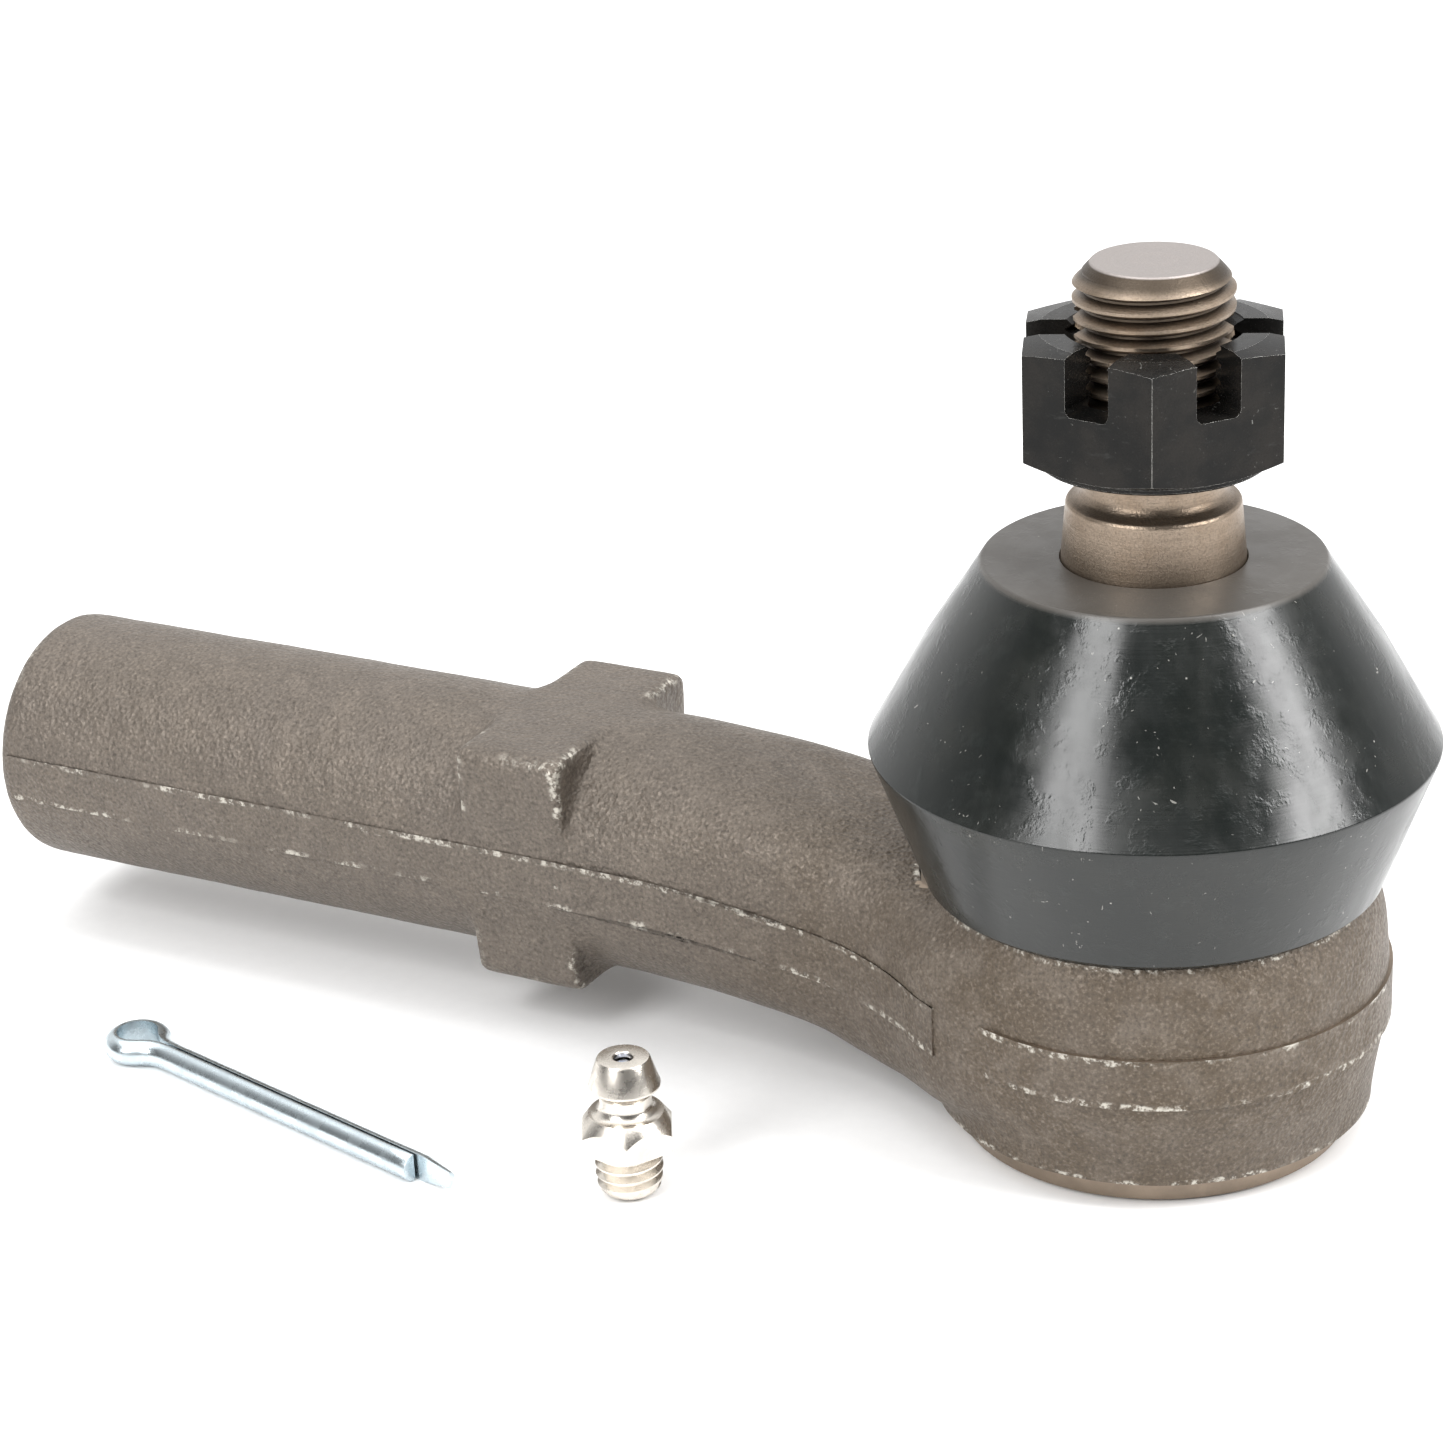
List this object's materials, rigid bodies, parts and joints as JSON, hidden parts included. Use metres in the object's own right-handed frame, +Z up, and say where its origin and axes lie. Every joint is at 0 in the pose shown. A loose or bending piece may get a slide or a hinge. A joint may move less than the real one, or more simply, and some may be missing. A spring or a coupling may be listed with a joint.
{
  "type": "tie rod end",
  "caption": "Outer tie rod end: forged socket with a female-threaded shank, tapered ball stud, rubber dust boot, slotted nut, loose cotter pin and grease fitting.",
  "frame": {"origin": "centre of the ball stud's end face, on the stud's axis", "axes": "+Z up along the ball stud, -X along the shank towards its threaded end, +Y to the left of the shank when seen from its threaded end"},
  "size_m": [0.1481, 0.0668, 0.0813],
  "materials": {
    "forged_steel": "shot-blasted forging, dark grey-brown, matte",
    "turned_steel": "bare turned steel, warm grey",
    "black_oxide": "black oxide, semi-gloss",
    "boot_rubber": "moulded black rubber, glossy sides",
    "zinc_plate": "bright zinc, slightly blue",
    "nickel_plate": "bright nickel",
    "sintered_iron": "sintered and oiled, matte",
    "spring_steel": "drawn steel wire"
  },
  "bodies": {
    "forging": {"housing": "forged_steel", "cover_plate": "zinc_plate", "preload_spring": "spring_steel"},
    "socket": {"upper_bearing": "sintered_iron"},
    "lower_seat": {"lower_bearing": "sintered_iron"},
    "boot": {"dust_boot": "boot_rubber"},
    "stud": {"ball_stud": "turned_steel"},
    "nut": {"slotted_nut": "black_oxide"},
    "pin": {"cotter_pin": "zinc_plate"},
    "fitting": {"grease_fitting_body": "nickel_plate", "grease_check_spring": "spring_steel"},
    "check_ball": {"grease_check_ball": "spring_steel"}
  },
  "joints": [
    {"name": "socket_turn", "type": "hinge", "parent": "forging", "child": "socket", "pos_m": [0, 0, -0.0658], "axis": [0, 0, 1], "continuous": true},
    {"name": "stud_tilt", "type": "hinge", "parent": "socket", "child": "boot", "pos_m": [0, 0, -0.0658], "axis": [1, 0, 0], "range_deg": [-20, 20], "deforming": ["dust_boot"]},
    {"name": "stud_spin", "type": "hinge", "parent": "boot", "child": "stud", "pos_m": [0, 0, -0.0658], "axis": [0, 0, 1], "continuous": true},
    {"name": "nut_turn", "type": "hinge", "parent": "stud", "child": "nut", "pos_m": [0, 0, -0.0104], "axis": [0, 0, 1], "continuous": true},
    {"name": "lower_seat_press", "type": "slide", "parent": "forging", "child": "lower_seat", "axis": [0, 0, 1], "range_m": [-0.0006, 0], "stiffness_N_per_m": 8000, "springref_m": 0.002, "deforming": ["preload_spring"]},
    {"name": "pin_lift", "type": "slide", "parent": "forging", "child": "pin", "axis": [0, 0, 1], "range_m": [0, 0.05]},
    {"name": "fitting_lift", "type": "slide", "parent": "forging", "child": "fitting", "axis": [0, 0, 1], "range_m": [0, 0.05]},
    {"name": "check_ball_press", "type": "slide", "parent": "fitting", "child": "check_ball", "axis": [0, 0, 1], "range_m": [-0.0006, 0], "stiffness_N_per_m": 200, "springref_m": 0.002, "deforming": ["grease_check_spring"]}
  ]
}
